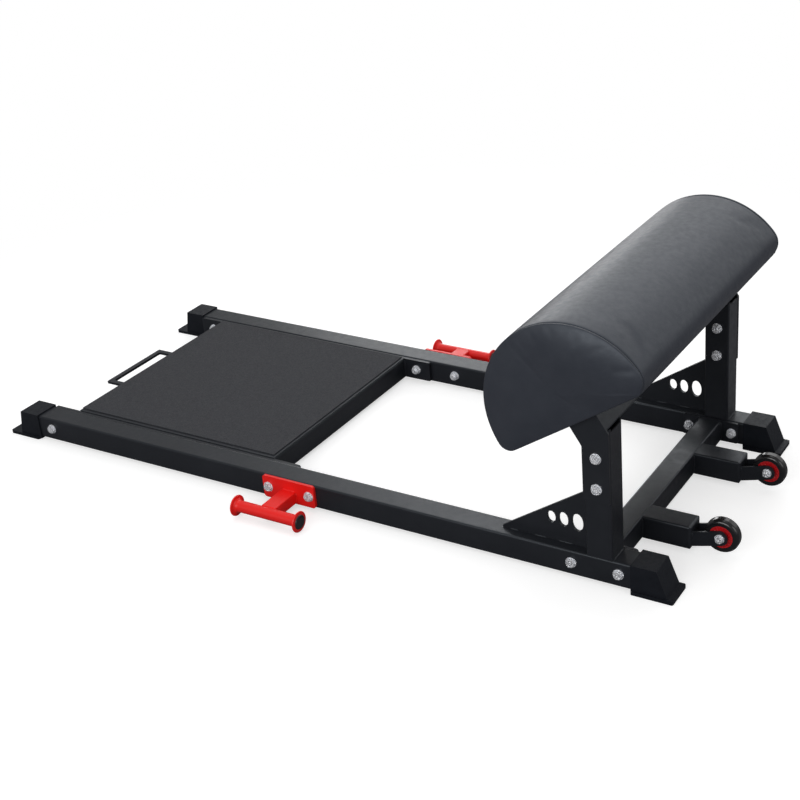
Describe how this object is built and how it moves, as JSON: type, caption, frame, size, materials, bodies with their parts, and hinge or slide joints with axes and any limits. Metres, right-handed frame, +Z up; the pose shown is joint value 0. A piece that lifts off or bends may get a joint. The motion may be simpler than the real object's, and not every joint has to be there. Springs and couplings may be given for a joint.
{
  "type": "roman chair",
  "caption": "Low gym bench: tilted half-round pad on uprights above two long floor rails, with a gritted foot platform, red band pegs, a front handle and rear transport wheels.",
  "frame": {"origin": "on the floor, at the centre of the bench's footprint box", "axes": "+X towards the pad and the wheels, +Y to the left side, +Z up"},
  "size_m": [1.7154, 0.847, 0.5416],
  "materials": {
    "black_paint": "satin powder coat",
    "deck_plate": "satin powder coat",
    "red_paint": "satin powder coat",
    "foot_rubber": "matte moulded",
    "grip_mat": "matte",
    "plug_plastic": "satin moulded",
    "tyre": "smooth gloss rubber",
    "red_plastic": "moulded",
    "bearing_steel": "ground",
    "zinc": "bright zinc plated",
    "plywood": "raw plywood",
    "vinyl": "smooth upholstery vinyl"
  },
  "bodies": {
    "frame": {"rail_right": "black_paint", "rail_left": "black_paint", "front_foot_right": "foot_rubber", "front_foot_left": "foot_rubber", "rear_foot_right": "foot_rubber", "rear_foot_left": "foot_rubber", "platform_side_right": "black_paint", "platform_side_left": "black_paint", "platform_front_tube": "black_paint", "platform_rear_tube": "black_paint", "platform_stringers": "black_paint", "platform_deck": "deck_plate", "platform_mat": "grip_mat", "platform_handle": "black_paint", "peg_plate_right": "red_paint", "peg_plate_left": "red_paint", "peg_arm_right": "red_paint", "peg_arm_left": "red_paint", "band_peg_right": "red_paint", "band_peg_left": "red_paint", "peg_plugs_right": "plug_plastic", "peg_plugs_left": "plug_plastic", "rear_crossbar": "black_paint", "crossbar_plate_right": "black_paint", "crossbar_plate_left": "black_paint", "stub_tube_right": "black_paint", "stub_tube_left": "black_paint", "wheel_fork_right": "black_paint", "wheel_fork_left": "black_paint", "axle_bolt_right": "zinc", "axle_bolt_left": "zinc", "axle_nut_right": "zinc", "axle_nut_left": "zinc", "axle_spacers_right": "zinc", "axle_spacers_left": "zinc", "upright_right": "black_paint", "upright_left": "black_paint", "gusset_right": "black_paint", "gusset_left": "black_paint", "ear_plate_right": "black_paint", "ear_plate_left": "black_paint", "pad_carrier": "black_paint", "pad_board": "plywood", "pad_cushion": "vinyl", "pad_bolts": "zinc", "frame_bolts_right": "zinc", "frame_bolts_left": "zinc", "frame_nuts_right": "zinc", "frame_nuts_left": "zinc", "frame_washers_right": "zinc", "frame_washers_left": "zinc"},
    "wheel_right": {"tyre_right": "tyre", "wheel_hub_right": "red_plastic", "bearings_right": "bearing_steel"},
    "wheel_left": {"tyre_left": "tyre", "wheel_hub_left": "red_plastic", "bearings_left": "bearing_steel"}
  },
  "joints": [
    {"name": "wheel_right_spin", "type": "hinge", "parent": "frame", "child": "wheel_right", "pos_m": [0.82175, -0.133, 0.046], "axis": [0, 1, 0], "continuous": true},
    {"name": "wheel_left_spin", "type": "hinge", "parent": "frame", "child": "wheel_left", "pos_m": [0.82175, 0.133, 0.046], "axis": [0, 1, 0], "continuous": true}
  ]
}
